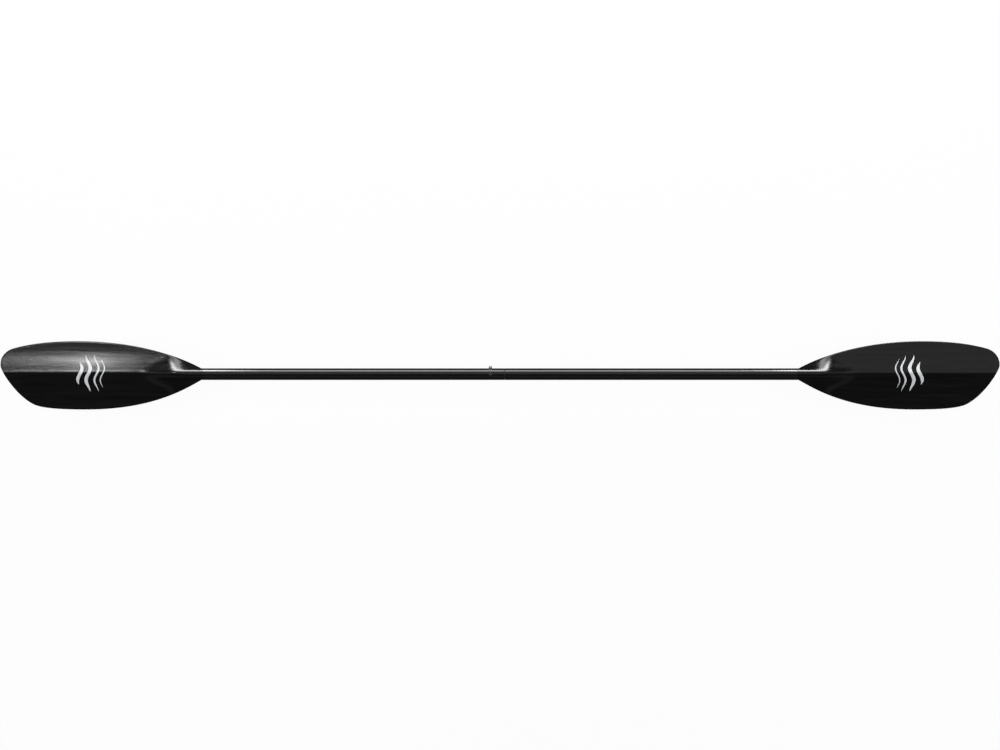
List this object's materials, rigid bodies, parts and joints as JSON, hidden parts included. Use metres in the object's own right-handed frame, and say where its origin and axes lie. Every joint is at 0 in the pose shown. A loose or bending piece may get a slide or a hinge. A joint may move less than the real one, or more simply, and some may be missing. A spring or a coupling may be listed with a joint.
{
  "type": "kayak paddle",
  "caption": "Two-piece double-bladed kayak paddle with asymmetric dihedral blades, a round tubular shaft and a snap-button take-apart joint.",
  "frame": {"origin": "on the shaft axis, at the inner end face of the right tube, where the two halves meet", "axes": "+X along the shaft towards the right blade, +Y across the blades towards their longer edges, +Z out of the blade faces"},
  "size_m": [2.4, 0.1645, 0.0365],
  "materials": {
    "blade": "satin glass-filled nylon",
    "tube": "gloss fibreglass",
    "insert": "matt fibreglass",
    "spring_steel": "stainless",
    "seal": "matt",
    "foam": "closed-cell foam"
  },
  "bodies": {
    "left_half": {"blade_left": "blade", "shaft_left": "tube", "plug_left": "foam"},
    "seal": {"seal_ring": "seal"},
    "right_half": {"blade_right": "blade", "shaft_right": "tube", "ferrule_insert": "insert", "plug_right": "foam"},
    "button": {"snap_clip": "spring_steel"}
  },
  "joints": [
    {"name": "pull_apart", "type": "slide", "parent": "left_half", "child": "seal", "axis": [1, 0, 0], "range_m": [0, 0.2], "deforming": ["snap_clip"]},
    {"name": "feather", "type": "hinge", "parent": "seal", "child": "right_half", "pos_m": [0, 0, 0], "axis": [1, 0, 0], "range_deg": [-60, 60], "deforming": ["snap_clip"]},
    {"name": "button_press", "type": "slide", "parent": "right_half", "child": "button", "axis": [0, -0.9135, -0.4067], "range_m": [0, 0.008], "stiffness_N_per_m": 2500, "deforming": ["snap_clip"]}
  ]
}
